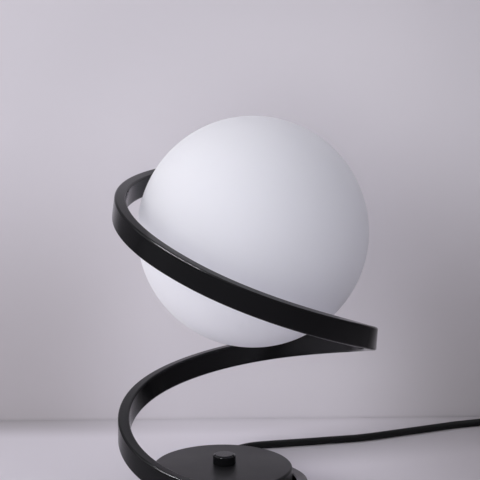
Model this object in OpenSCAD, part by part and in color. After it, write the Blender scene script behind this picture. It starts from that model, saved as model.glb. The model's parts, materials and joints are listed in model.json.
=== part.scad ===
// Spiral table lamp: a flat black tube starts against a low drum, winds once round it, climbs in a wide
// loop and ends behind an opal globe that it carries. A dimmer knob stands on the drum.
// Origin: on the table under the drum's axis. +X right, +Y away from the viewer, +Z up.

/* [Drum] */
// Outside diameter of the drum
base_d = 122; // [116:1:136]
// Side wall of the drum shell
shell_wall = 1.5; // [1:0.1:2.5]
// Top wall of the drum shell
top_t = 2; // [1.5:0.1:3]
// Radius of the drum's top edge
edge_r = 2; // [1:0.1:3]
// Thickness of the rubber foot pad
pad_t = 2; // [1:0.1:3]
// Thickness of the bottom plate
plate_t = 3; // [2.5:0.1:4]
// Gap between the shell and the ballast
ballast_gap = 15.5; // [15.5:0.5:18]
// Thickness of the ballast
ballast_t = 16; // [12:1:20]
// Room for wiring above the ballast
wiring_room = 13; // [12:1:18]
// Shell wall to the centre of a post
post_inset = 7.5; // [5.5:0.5:9]
// Diameter of a post
post_d = 8; // [7:0.5:10]

/* [Dimmer] */
// Knob axis to the right of the drum's axis
knob_x = 1.5; // [-10:0.5:10]
// Knob axis behind the drum's axis
knob_y = 5; // [-4:0.5:10]
// Diameter of the knob
knob_d = 20; // [18.5:0.5:30]
// Height of the knob above the drum
knob_top = 9; // [9:0.5:14]
// Diameter of the dimmer shaft
shaft_d = 6; // [5:0.5:7]
// Side of the dimmer body
dimmer_side = 22; // [18:1:24]

/* [Tube] */
// Height of the flat tube
tube_h = 20; // [18:0.5:24]
// Thickness of the flat tube
tube_t = 10; // [9:0.5:12]
// Wall of the flat tube
tube_wall = 1.2; // [0.8:0.1:1.6]
// Corner radius of the flat tube
tube_corner = 1.5; // [0.8:0.1:2]
// Underside of the tube's start above the table
tube_lift = 1; // [0.5:0.1:3]
// Gap between the drum and the tube wound round it
ring_gap = 3.5; // [2.5:0.1:6]
// Gap between the globe and the climbing loop
loop_gap = 5.5; // [4:0.5:12]
// Gap between the globe and the tube's upper end
tuck_gap = 6; // [5.5:0.5:9]
// Height of the tube's upper end above the globe's centre
end_rise = 37; // [30:1:44]
// Rise and fall of the tilted loop about its mean climb
loop_tilt = 10; // [6:0.5:12]
// Climbing loop's centre to the right of the drum's axis
loop_x = 18; // [12:0.5:22]
// Climbing loop's centre behind the drum's axis
loop_y = 6; // [2:0.5:10]

/* [Globe] */
// Diameter of the globe
globe_d = 200; // [180:1:210]
// Thickness of the glass
glass_t = 3; // [2:0.1:4]
// Globe's centre to the right of the drum's axis
globe_x = 26.5; // [20:0.5:32]
// Globe's centre behind the drum's axis
globe_y = 22; // [16:0.5:28]
// Globe's centre above the table
globe_z = 240; // [225:1:255]
// Diameter of the globe's opening
opening_d = 40; // [34:1:44]
// Diameter of the bulb's dome
bulb_d = 45; // [40:1:60]

/* [Cord] */
// Diameter of the cord
cord_d = 7; // [5:0.1:7]
// Length of the cord from the drum to the plug
cord_len = 1800; // [1500:10:2000]
// Turns in the put-away coil, spiralling in below and out above
coil_turns = 5.25; // [3.25:1:5.25]

/* [Hidden] */
$fn = 64;

// Clearances
hole_gap = 0.1;      // hole round a screw or sleeve that passes through
thread_gap = 0.02;   // thread in its hole
run_gap = 0.05;      // turning shaft in its bush
seat_gap = 0.02;     // flat head on a curved wall
plate_gap = 0.3;     // plate inside the shell
facet_gap = 0.15;    // round piece against the flat-sided tube
past = 1;            // cuts run this far past a face

// Drum
base_r = base_d / 2;
inner_r = base_r - shell_wall;
floor_z = pad_t + plate_t;
ballast_top = floor_z + ballast_t;
ceiling_z = ballast_top + wiring_room;
base_top = ceiling_z + top_t;
plate_r = inner_r - plate_gap;
pad_inset = 4;
post_r = inner_r - post_inset;
ballast_r = inner_r - ballast_gap;
post_angles = [130, 250, 10];
base_screw_d = 4;
ballast_screw_d = 6;
screw_depth = 14;
pocket_w = 12;       // notch in the ballast for the lamp wire
pocket_r = ballast_r - 10;

// Dimmer
bush_r = shaft_d / 2 + 2;
bush_rise = 2.5;
dimmer_gap = 2;
nut_t = 2;
nut_af = 2 * bush_r + 3;
knob_gap = 0.5;
knob_bevel_w = 2;  // sloped edge round the knob's top
knob_bevel_h = 1.2;
knob_recess = 4;
recess_r = nut_af / 2 / cos(30) + 0.5;
knob_roof = 1.7;
grub_d = 3;
shaft_low = ballast_top + dimmer_gap + 3;
shaft_top = base_top + knob_top - knob_roof - 0.3;
grub_z = base_top + knob_top - 3;

// Tube section and path: angle 0 is right, 90 front, 180 left, 270 back, climbing
tube_start = -70;
tube_end = 640;
tube_step = 5;
fan_start = 80;      // leaves the ring round the drum
fan_end = 240;       // full loop
tuck_start = 480;    // draws in behind the globe
tuck_end = 615;
climb_start = -55;
ease_in = 0.57;
ease_out = 0.21;
tilt_dir = 214;
lean_mean = 2.7;     // the tube's top leans outward by this
lean_once = 5.2;
once_dir = 70;
lean_twice = 7.3;
twice_dir = 54;
loop_c = [loop_x, loop_y];
globe_r = globe_d / 2;
globe_c = [globe_x, globe_y, globe_z];
ring_r = base_r + ring_gap + tube_t / 2;
loop_r = globe_r + loop_gap + tube_t / 2;
tuck_dist = globe_r + tuck_gap + tube_t / 2;
tuck_r = sqrt(tuck_dist * tuck_dist - end_rise * end_rise);
tuck_lean = -asin(end_rise / tuck_dist);
start_z = tube_lift + tube_h / 2;
end_z = globe_z + end_rise;
cap_t = 2;
spigot_l = 5;
spigot_gap = 0.5;

// Fixing of the tube to the drum
nipple_d = 8;
nipple_bore = 5.2;
nipple_af = nipple_d + 3;
nipple_nut_t = 4;
nipple_angle = 37;
tube_screws_mid = 54;
tube_screw_pitch = 10;
tube_screw_angles = [for (s = [1, -1]) tube_screws_mid + s * tube_screw_pitch / inner_r * 90 / PI];
tube_screw_d = 5;
tube_head_d = 8.5;
tube_head_t = 3;
fix_z = max(start_z, floor_z + nipple_af / 2 + 0.5);
tube_face_r = base_r + ring_gap;
nut_plate_r = tube_face_r + tube_wall + facet_gap;
nut_plate_t = 4;
saddle_from = 31;
saddle_sweep = 35;
saddle_h = 14;
nut_plate_end = 4.5; // angle from the outer screws to the nut plate's ends
nut_plate_gap = 0.8;
nipple_stub = 2;

// Lamp head: heights along the line from the globe's centre to the tube
stem_angle = 630;
bar_u = globe_r + tuck_gap;
collar_r = 9;
collar_u = bar_u - collar_r * collar_r / (2 * tuck_r) - facet_gap;
opening_r = opening_d / 2;
ground_w = 6;        // flat ground round the opening
ground_r = opening_r + ground_w;
ground_u = sqrt(globe_r * globe_r - ground_r * ground_r);
gasket_t = 1;
globe_cap_t = 1.5;
globe_cap_u = ground_u + gasket_t + globe_cap_t;
boss_gap = 0.3;
globe_cap_lip = 1;
boss_depth = 2;
boss_u = ground_u - boss_depth;
strap_w = 16;
strap_t = 2;
strap_half = opening_r + 4;
glass_in = globe_r - glass_t;
strap_u = sqrt(glass_in * glass_in - strap_half * strap_half - strap_w * strap_w / 4) - boss_gap;
stem_d = 10;
stem_bore = 6.8;
stem_nut_t = 3.2;
stem_nut_af = 15;
holder_gap = 0.3;
holder_u = strap_u - strap_t - stem_nut_t - holder_gap;
holder_len = 44;
holder_r = 14;
holder_neck = 7;
stem_grip = 10;
stem_low = holder_u - stem_grip;
stem_past = 1.5;
socket_r = 7.6;
socket_depth = 30;
bulb_cap_r = 7;
bulb_gap = 0.5;
bulb_top = holder_u - holder_len + socket_depth - 2 * bulb_gap;
bulb_rim = holder_u - holder_len - bulb_gap;
bulb_len = 25;
bulb_step = 1.5;
bulb_r = bulb_d / 2;
bulb_seat = bulb_rim - bulb_len;
bulb_mouth = bulb_r - 5.5;
bulb_c = bulb_seat - sqrt(bulb_r * bulb_r - bulb_mouth * bulb_mouth);
bulb_wall = 1.2;

// Wiring
wire_d = 3.2;
lead_d = 2.4;
wire_sides = 6;
wire_step = 6;
term_w = 20;
term_d = 16;
term_h = 9;
term_c = [-24, -12];
term_screw_d = 4;

// Cord: lies from the drum to the right edge of the view, then in a tied coil
cord_r = cord_d / 2;
cord_sides = 10;
coil_sides = 6;
coil_rings = 24;
cord_z = 14;
cord_bore = cord_d + 0.3;
grip_flange_r = 8;
grip_neck_r = 6;
grip_flange_t = 2.5;
grip_tip_r = cord_r + 1.1;
grip_len = 25;
grip_rings = 5;
clamp_inset = 8;
clamp_y = inner_r - clamp_inset;
clamp_t = 7;
cord_y = clamp_y - clamp_t / 2 - 1;
clamp_w = 26;
clamp_slit = 0.6;
clamp_screw_d = 3;
clamp_screw_x = 9;
cord_points = [[0, cord_y, cord_z], [0, 62, cord_z], [0, 78, cord_z], [0, 90, cord_z], [0, 102, 12.6],
    [0, 114, 9.6], [1.6, 126.2, 6.2], [6.3, 137.5, 4], [13.8, 147.2, 3.5], [23.5, 154.7, 3.5],
    [34, 159, 3.5], [47, 162.2, 3.5], [60, 165, 3.5], [73.5, 168, 3.5], [87, 171, 3.5], [101, 174.5, 3.5],
    [115, 177.5, 3.5], [129, 181, 3.5], [143, 186, 3.5], [157, 192, 3.5], [171.5, 198.5, 3.5],
    [186, 205, 3.5], [200.5, 211.5, 3.5], [215, 218, 3.5], [230, 224.5, 3.5], [244, 229.5, 3.5],
    [257.5, 234, 3.5], [271, 238.5, 3.6], [285, 242.5, 4.4], [296, 245.4, 5], [303, 246, 5]];
coil_pitch = cord_d + 0.5;
coil_half = coil_turns / 2;
climb_turns = 0.5;
tail_drop = [[-7, 7.5], [-14, 7.5], [-22, 6.6], [-31, 4.6], [-40, 2.7], [-48, 2], [-55, 2]];
tie_t = 1.2;
tie_w = 6;
tie_gap = 0.3;
tie_angle = 45;
tie_corner = 3.5;
plug_w = 35;
plug_t = 14;
plug_len = 36;
plug_corner = 5;
plug_edge = 1;
plug_back_w = 20;
relief_len = 20;
relief_r = 6;
pin_d = 4;
pin_len = 19;
pin_spread = 18.6;
pin_root = 6;

dark = [0.09, 0.09, 0.10];
opal = [0.93, 0.93, 0.95];
steel = [0.72, 0.73, 0.75];
brass = [0.80, 0.66, 0.36];
soft_black = [0.13, 0.13, 0.14];

// Small maths
function unit(v) = v / norm(v);
function mix(a, b, t) = a + (b - a) * t;
function held(t) = max(0, min(1, t));
function smooth(t) = let(u = held(t)) u * u * u * (u * (6 * u - 15) + 10);
function polar(r, a, z) = [r * cos(a), r * sin(a), z];
function span(points) = [for (i = [1:1:len(points) - 1]) norm(points[i] - points[i - 1])];
function total(list) = list * [for (i = list) 1];

// The tube's path round the drum and the globe
function fan(a) = smooth((a - fan_start) / (fan_end - fan_start));
function tuck(a) = smooth((a - tuck_start) / (tuck_end - tuck_start));
function climb(t) =
    let(u = held(t), h = 1 / (1 - ease_in / 2 - ease_out / 2))
    u < ease_in ? h * u * u / (2 * ease_in)
    : u < 1 - ease_out ? h * (u - ease_in / 2)
    : 1 - h * (1 - u) * (1 - u) / (2 * ease_out);
function path(a) =
    let(c = mix(fan(a) * loop_c, [globe_x, globe_y], tuck(a)),
        r = mix(mix(ring_r, loop_r, fan(a)), tuck_r, tuck(a)),
        rise = climb((a - climb_start) / (tuck_end - climb_start)),
        tilt = loop_tilt * cos(a - tilt_dir) * fan(a) * (1 - tuck(a)))
    [c.x + r * cos(a), c.y - r * sin(a), mix(start_z, end_z, rise) + tilt];
function loop_lean(a) = lean_mean + lean_once * cos(a - once_dir) + lean_twice * cos(2 * (a - twice_dir));
function lean(a) = fan(a) * (1 - tuck(a)) * loop_lean(a) + tuck(a) * tuck_lean;
function along(a) = unit(path(a + 0.5) - path(a - 0.5));
function out_of(a) =
    let(t = along(a), n = unit([-t.y, t.x, 0]), u = cross(t, n))
    n * cos(lean(a)) - u * sin(lean(a));
function up_of(a) = cross(along(a), out_of(a));

// Outline of the tube, counted round from its upper outer corner: x is outward, y is up
function corner_arc(w, h, r, steps) =
    [for (k = [0:3], s = [0:steps])
        let(a = 90 * k + 90 * s / steps, sx = (k == 0 || k == 3) ? 1 : -1, sy = k < 2 ? 1 : -1)
        [sx * (w / 2 - r) + r * cos(a), sy * (h / 2 - r) + r * sin(a)]];
function ring_at(a, outline) =
    let(p = path(a), n = out_of(a), u = up_of(a))
    [for (q = outline) p + q.x * n + q.y * u];

// Sides between rings of equal length, as triangles; flip turns them inside out
function skin(rings, n, first, flip) =
    [for (i = [0:rings - 2], j = [0:n - 1])
        let(a = first + i * n + j, b = first + i * n + (j + 1) % n)
        each flip ? [[a, b + n, b], [a, a + n, b + n]] : [[a, b, b + n], [a, b + n, a + n]]];
function fan_cap(first, n, flip) =
    [for (j = [1:n - 2]) flip ? [first, first + j + 1, first + j] : [first, first + j, first + j + 1]];

// A round tube along a list of points, its ends square to its first and last stretch
module sweep(points, r, sides) {
    last = len(points) - 1;
    ways = [for (i = [0:last])
        i == 0 ? unit(points[1] - points[0])
        : i == last ? unit(points[last] - points[last - 1])
        : unit(unit(points[i + 1] - points[i]) + unit(points[i] - points[i - 1]))];
    start = unit(cross(ways[0], abs(ways[0].z) < 0.9 ? [0, 0, 1] : [1, 0, 0]));
    sides_1 = [for (i = 0, n = start; i <= last;
        i = i + 1, n = i <= last ? unit(n - (n * ways[i]) * ways[i]) : n) n];
    rings = [for (i = [0:last], j = [0:sides - 1])
        let(n = sides_1[i], m = cross(ways[i], n), a = 360 * j / sides)
        points[i] + r * (cos(a) * n + sin(a) * m)];
    polyhedron(rings, concat(skin(last + 1, sides, 0, true), fan_cap(0, sides, false),
        fan_cap(last * sides, sides, true)));
}

// Places
module on_tube(a) {
    p = path(a);
    n = out_of(a);
    u = up_of(a);
    t = along(a);
    multmatrix([[n.x, u.x, t.x, p.x], [n.y, u.y, t.y, p.y], [n.z, u.z, t.z, p.z]]) children();
}
module on_stem() {
    z = unit(path(stem_angle) - globe_c);
    x = along(stem_angle);
    y = cross(z, x);
    multmatrix([[x.x, y.x, z.x, globe_x], [x.y, y.y, z.y, globe_y], [x.z, y.z, z.z, globe_z]]) children();
}
module outward(a, z) {
    rotate([0, 0, a]) translate([0, 0, z]) rotate([0, 90, 0]) children();
}
module backward(y, z) {
    translate([0, y, z]) rotate([-90, 0, 0]) children();
}
module at_post(i) {
    rotate([0, 0, post_angles[i - 1]]) translate([post_r, 0, 0]) children();
}
module at_dimmer(z) {
    translate([knob_x, knob_y, z]) children();
}

// Repeated shapes
module disc(r, h) {
    cylinder(r = r, h = h);
}
module washer(r, bore, h) {
    difference() {
        disc(r, h);
        translate([0, 0, -past]) disc(bore, h + 2 * past);
    }
}
module hex_nut(af, bore, h) {
    difference() {
        rotate([0, 0, 30]) cylinder(d = af / cos(30), h = h, $fn = 6);
        translate([0, 0, -past]) disc(bore, h + 2 * past);
    }
}
module flush_screw(d, h, grow) {
    cylinder(r1 = d + grow, r2 = d / 2 + grow, h = d / 2);
    disc(d / 2 + grow, h);
}
module pan_screw(d, head_d, head_t, h) {
    translate([0, 0, -head_t]) disc(head_d / 2, head_t);
    disc(d / 2, h);
}
module rounded(w, h, r) {
    square([w, h - 2 * r], center = true);
    square([w - 2 * r, h], center = true);
    for (x = [-1, 1], y = [-1, 1]) translate([x * (w / 2 - r), y * (h / 2 - r)]) circle(r);
}
module box_at(x, y, z0, w, d, h) {
    translate([x - w / 2, y - d / 2, z0]) cube([w, d, h]);
}

// Drum
function seat_r(head_r) = sqrt(inner_r * inner_r - head_r * head_r) - seat_gap;

module drum_outline() {
    translate([0, pad_t]) square([base_r - edge_r, base_top - pad_t]);
    translate([0, pad_t]) square([base_r, base_top - pad_t - edge_r]);
    translate([base_r - edge_r, base_top - edge_r]) circle(edge_r);
}
module base_shell() {
    color(dark) difference() {
        rotate_extrude() difference() {
            drum_outline();
            translate([0, pad_t - past]) square([inner_r, ceiling_z - pad_t + past]);
        }
        at_dimmer(ceiling_z - past) disc(bush_r + hole_gap, top_t + 2 * past);
        backward(base_r / 2, cord_z) disc(grip_neck_r + hole_gap, base_r);
        outward(nipple_angle, fix_z) disc(nipple_d / 2 + hole_gap, base_r + past);
        for (a = tube_screw_angles) outward(a, fix_z) disc(tube_screw_d / 2 + hole_gap, base_r + past);
    }
}
module bottom_plate() {
    color(dark) difference() {
        translate([0, 0, pad_t]) disc(plate_r, plate_t);
        translate([0, 0, pad_t]) flush_screw(ballast_screw_d, plate_t + past, hole_gap);
        for (i = [1:3])
            at_post(i) translate([0, 0, pad_t]) flush_screw(base_screw_d, plate_t + past, hole_gap);
    }
}
module foot_pad() {
    color(soft_black) disc(base_r - pad_inset, pad_t);
}
module ballast() {
    color([0.30, 0.30, 0.31]) difference() {
        translate([0, 0, floor_z]) disc(ballast_r, ballast_t);
        translate([0, 0, floor_z - past]) disc(ballast_screw_d / 2 + thread_gap, screw_depth);
        rotate([0, 0, nipple_angle]) translate([pocket_r, -pocket_w / 2, floor_z - past])
            cube([base_r, pocket_w, ballast_t + 2 * past]);
    }
}
module ballast_screw() {
    color(steel) translate([0, 0, pad_t]) flush_screw(ballast_screw_d, screw_depth, 0);
}
module shell_post(i) {
    color(steel) at_post(i) difference() {
        translate([0, 0, floor_z]) disc(post_d / 2, ceiling_z - floor_z);
        translate([0, 0, floor_z - past]) disc(base_screw_d / 2 + thread_gap, screw_depth);
    }
}
module base_screw(i) {
    color(steel) at_post(i) translate([0, 0, pad_t]) flush_screw(base_screw_d, screw_depth, 0);
}

// Dimmer
module dimmer_body() {
    low = ballast_top + dimmer_gap;
    color([0.25, 0.25, 0.27]) difference() {
        union() {
            box_at(knob_x, knob_y, low, dimmer_side, dimmer_side, ceiling_z - low);
            at_dimmer(ceiling_z) disc(bush_r, top_t + bush_rise);
        }
        at_dimmer(shaft_low - 0.4) disc(shaft_d / 2 + run_gap, base_top);
    }
}
module dimmer_nut() {
    color(steel) at_dimmer(base_top) hex_nut(nut_af, bush_r + thread_gap, nut_t);
}
module dimmer_shaft() {
    color(steel) at_dimmer(shaft_low) disc(shaft_d / 2, shaft_top - shaft_low);
}
module knob() {
    low = base_top + knob_gap;
    high = base_top + knob_top;
    color(dark) difference() {
        union() {
            at_dimmer(low) disc(knob_d / 2, high - low - knob_bevel_h);
            at_dimmer(high - knob_bevel_h)
                cylinder(r1 = knob_d / 2, r2 = knob_d / 2 - knob_bevel_w, h = knob_bevel_h);
        }
        at_dimmer(low - past) disc(recess_r, knob_recess + past);
        at_dimmer(low) disc(shaft_d / 2 + thread_gap, high - knob_roof - low);
        at_dimmer(grub_z) rotate([-90, 0, 0]) disc(grub_d / 2 + thread_gap, knob_d);
    }
}
module knob_screw() {
    color(steel) at_dimmer(grub_z) rotate([-90, 0, 0])
        translate([0, 0, shaft_d / 2 + thread_gap]) disc(grub_d / 2, (knob_d - shaft_d) / 2 - 1);
}

// Spiral tube and what closes and holds it
module tube_skin() {
    outer = corner_arc(tube_t, tube_h, tube_corner, 2);
    inner = [for (c = [[1, 1], [-1, 1], [-1, -1], [1, -1]])
        [c.x * (tube_t / 2 - tube_wall), c.y * (tube_h / 2 - tube_wall)]];
    stations = [for (a = [tube_start:tube_step:tube_end]) a];
    count = len(stations);
    n = len(outer);
    m = len(inner);
    points = concat([for (a = stations) each ring_at(a, outer)], [for (a = stations) each ring_at(a, inner)]);
    hollow = count * n;
    per_corner = n / m;
    function rim(o, i, flip) = [for (k = [0:m - 1])
        let(a = o + k * per_corner, b = o + ((k + 1) * per_corner) % n, c = i + k, d = i + (k + 1) % m)
        each concat(
            [for (s = [0:per_corner - 2]) flip ? [c, a + s + 1, a + s] : [c, a + s, a + s + 1]],
            flip ? [[c, b, a + per_corner - 1], [c, d, b]] : [[c, a + per_corner - 1, b], [c, b, d]])];
    polyhedron(points, concat(skin(count, n, 0, true), skin(count, m, hollow, false),
        rim(0, hollow, false), rim((count - 1) * n, hollow + (count - 1) * m, true)));
}
module wall_hole(from, r) {
    translate([0, 0, from - past]) disc(r + hole_gap, tube_wall + past + tube_t / 4);
}
module spiral_tube() {
    color(dark) difference() {
        tube_skin();
        outward(nipple_angle, fix_z) wall_hole(tube_face_r, nipple_d / 2);
        for (a = tube_screw_angles) outward(a, fix_z) wall_hole(tube_face_r, tube_screw_d / 2);
        on_stem() wall_hole(bar_u, stem_d / 2);
    }
}
module tube_plug() {
    linear_extrude(cap_t) rounded(tube_t, tube_h, tube_corner);
    translate([0, 0, -spigot_l]) linear_extrude(spigot_l)
        square([tube_t, tube_h] - 2 * [1, 1] * (tube_wall + spigot_gap), center = true);
}
module tube_foot_cap() {
    color(dark) on_tube(tube_start) rotate([0, 180, 0]) tube_plug();
}
module tube_top_cap() {
    color(dark) on_tube(tube_end) tube_plug();
}
module tube_saddle() {
    color(dark) difference() {
        rotate([0, 0, saddle_from]) rotate_extrude(angle = saddle_sweep)
            translate([base_r, fix_z - saddle_h / 2]) square([ring_gap - facet_gap, saddle_h]);
        outward(nipple_angle, fix_z) disc(nipple_d / 2 + hole_gap, ring_r);
        for (a = tube_screw_angles) outward(a, fix_z) disc(tube_screw_d / 2 + hole_gap, ring_r);
    }
}
module nut_plate() {
    low = tube_lift + tube_wall + nut_plate_gap;
    color(steel) difference() {
        rotate([0, 0, tube_screw_angles[1] - nut_plate_end])
            rotate_extrude(angle = tube_screw_angles[0] - tube_screw_angles[1] + 2 * nut_plate_end)
            translate([nut_plate_r, low]) square([nut_plate_t, 2 * (start_z - low)]);
        for (a = tube_screw_angles) outward(a, fix_z) disc(tube_screw_d / 2 + thread_gap, ring_r + tube_t);
    }
}
module tube_screw(i) {
    seat = seat_r(tube_head_d / 2);
    color(steel) outward(tube_screw_angles[i - 1], fix_z) translate([0, 0, seat])
        pan_screw(tube_screw_d, tube_head_d, tube_head_t, nut_plate_r + nut_plate_t - seat);
}
module wire_nipple() {
    low = seat_r(nipple_af / 2 / cos(30)) - nipple_nut_t - nipple_stub;
    color(brass) outward(nipple_angle, fix_z) translate([0, 0, low])
        washer(nipple_d / 2, nipple_bore / 2, tube_face_r + tube_wall + 1 - low);
}
module nipple_nut() {
    color(brass) outward(nipple_angle, fix_z)
        translate([0, 0, seat_r(nipple_af / 2 / cos(30)) - nipple_nut_t])
        hex_nut(nipple_af, nipple_d / 2 + thread_gap, nipple_nut_t);
}

// Lamp head
module stem() {
    color(steel) on_stem() translate([0, 0, stem_low])
        washer(stem_d / 2, stem_bore / 2, bar_u + tube_wall + stem_past - stem_low);
}
module stem_collar() {
    color(dark) on_stem() translate([0, 0, globe_cap_u])
        washer(collar_r, stem_d / 2 + thread_gap, collar_u - globe_cap_u);
}
module globe_cap() {
    color(dark) on_stem() difference() {
        union() {
            translate([0, 0, globe_cap_u - globe_cap_t]) disc(ground_r + globe_cap_lip, globe_cap_t);
            translate([0, 0, boss_u]) disc(opening_r - boss_gap, globe_cap_u - boss_u);
        }
        disc(stem_d / 2 + hole_gap, globe_r + past);
    }
}
module globe_gasket() {
    color(soft_black) on_stem() translate([0, 0, ground_u]) washer(ground_r, opening_r, gasket_t);
}
module globe_bar() {
    color(steel) on_stem() difference() {
        box_at(0, 0, strap_u - strap_t, 2 * strap_half, strap_w, strap_t);
        disc(stem_d / 2 + hole_gap, globe_r);
    }
}
module stem_nut() {
    color(steel) on_stem() translate([0, 0, strap_u - strap_t - stem_nut_t])
        hex_nut(stem_nut_af, stem_d / 2 + thread_gap, stem_nut_t);
}
module lamp_holder() {
    low = holder_u - holder_len;
    color([0.85, 0.85, 0.84]) on_stem() difference() {
        union() {
            translate([0, 0, low]) disc(holder_r, holder_len - holder_neck);
            translate([0, 0, holder_u - holder_neck]) cylinder(r1 = holder_r, r2 = stem_d, h = holder_neck);
        }
        translate([0, 0, low - past]) disc(socket_r, socket_depth + past);
        translate([0, 0, low]) disc(stem_d / 2 + thread_gap, holder_len + past);
    }
}
module bulb_cap() {
    color(brass) on_stem() translate([0, 0, bulb_rim]) disc(bulb_cap_r, bulb_top - bulb_rim);
}
module bulb_body() {
    color(opal) on_stem() translate([0, 0, bulb_seat])
        cylinder(r1 = bulb_mouth, r2 = bulb_cap_r + bulb_step, h = bulb_len);
}
module bulb_dome() {
    color(opal) on_stem() rotate_extrude() intersection() {
        difference() {
            translate([0, bulb_c]) circle(bulb_r);
            translate([0, bulb_c]) circle(bulb_r - bulb_wall);
        }
        translate([0, bulb_c - bulb_d]) square([bulb_d, bulb_seat - bulb_c + bulb_d]);
    }
}
module globe() {
    color(opal) on_stem() rotate_extrude() difference() {
        intersection() {
            circle(globe_r);
            translate([0, -globe_r]) square([globe_r, globe_r + ground_u]);
        }
        circle(glass_in);
        square([opening_r, globe_r]);
    }
}

// Wiring
function term_z(up) = ballast_top + up;

module lamp_wire() {
    top = ballast_top + wire_d / 2 + 0.6;
    head = unit(globe_c - path(stem_angle));
    term_x = term_c.x + term_w / 2;
    term_up = term_z(4);
    points = concat(
        [[term_x, term_c.y, term_up], [term_x + 4, term_c.y, term_up], [term_x + 10, term_c.y, top],
            [knob_x + 4, knob_y - dimmer_side / 2 - 5, top], [knob_x + dimmer_side / 2 + 5, knob_y - 11, top],
            polar(pocket_r - 4, nipple_angle - 8, top + 1), polar(pocket_r + 2.5, nipple_angle, top)],
        [for (q = [[7, 0.55], [11, 0.15], [15, 0]])
            polar(pocket_r + q.x, nipple_angle, mix(fix_z, top, q.y))],
        [for (r = [pocket_r + 20, tube_face_r, ring_r - 3]) polar(r, nipple_angle, fix_z)],
        [polar(ring_r - 0.9, nipple_angle - 0.9, mix(fix_z, start_z, 0.3))],
        [for (a = [3 - nipple_angle:wire_step:stem_angle - 4]) path(a)],
        [path(stem_angle - 1.4) + 0.8 * head],
        [for (u = [2.4, 8, 14, bar_u + tube_t / 2 - stem_low + 2]) path(stem_angle) + u * head]);
    color(soft_black) sweep(points, wire_d / 2, wire_sides);
}
module terminal_block() {
    color([0.88, 0.87, 0.82]) difference() {
        box_at(term_c.x, term_c.y, ballast_top, term_w, term_d, term_h);
        for (i = [1, 2]) terminal_place(i) disc(term_screw_d / 2 + thread_gap, term_h);
    }
}
module terminal_place(i) {
    translate([term_c.x + (2 * i - 3) * term_w / 4, term_c.y, term_z(term_h - 4.5)]) children();
}
module terminal_screw(i) {
    color(brass) terminal_place(i) disc(term_screw_d / 2, 4);
}
module supply_lead() {
    side = term_c.y + term_d / 2;
    points = [[0, cord_y, cord_z], [0, cord_y - 0.8, cord_z], [-0.3, cord_y - 1.4, cord_z + 1.5],
        [-1, cord_y - 1.5, mix(cord_z, ballast_top, 0.6)], [-2, cord_y - 1.5, term_z(2)],
        [-5, cord_y - 5, term_z(4)], [term_c.x + 8, side + 30, term_z(4)], [term_c.x, side + 12, term_z(5)],
        [term_c.x - 3, side + 4, term_z(5)], [term_c.x - 3, side, term_z(5)]];
    color(soft_black) sweep(points, lead_d / 2, wire_sides);
}
module dimmer_lead() {
    face = knob_x - dimmer_side / 2;
    side = term_c.y + term_d / 2;
    points = [[face, knob_y - 5, term_z(7)], [face - 2, knob_y - 5, term_z(7)],
        [face - 5, knob_y - 4, term_z(6.5)], [term_c.x + 5.5, side + 5, term_z(5.5)],
        [term_c.x + 5, side + 2, term_z(5)], [term_c.x + 5, side, term_z(5)]];
    color(soft_black) sweep(points, lead_d / 2, wire_sides);
}

// Cord
entry = cord_points[len(cord_points) - 1] + [cord_d, 0, 0];
stretch_len = total(span(cord_points));
tail_len = total(span([for (d = tail_drop) [d.x, d.y]])) + cord_d;
coil_len = cord_len - stretch_len - tail_len - cord_d;
coil_r = coil_len / (2 * PI * coil_turns) + coil_pitch * coil_turns / 4;
coil_c = [entry.x, entry.y - coil_r];
function coil_reach(t) = coil_r - coil_pitch * min(t, coil_turns - t);
function coil_point(t) =
    let(r = coil_reach(t), a = 90 - 360 * t)
    [coil_c.x + r * cos(a), coil_c.y + r * sin(a),
        entry.z + coil_pitch * smooth((t - coil_half) / climb_turns + 0.5)];
coil_leave = coil_point(coil_turns);
coil_turned = [for (i = [0:coil_rings * coil_turns]) coil_point(i / coil_rings)];
coil_path = concat([entry - [cord_d, 0, 0]], coil_turned, [coil_leave - [0, cord_d, 0]]);
tail_path = [for (d = tail_drop) [coil_leave.x, coil_leave.y + d.x, entry.z + d.y]];
tail_end = tail_path[len(tail_path) - 1];
plug_y = tail_end.y - relief_len;
coil_least = min([for (i = [0:len(coil_path) - 1]) for (j = [i + coil_rings / 2:1:len(coil_path) - 1])
    norm(coil_path[i] - coil_path[j])]) - cord_d;
whole_len = stretch_len + total(span(coil_path)) + total(span(tail_path));
echo(cord_length = whole_len, coil_least_gap = coil_least);

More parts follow.
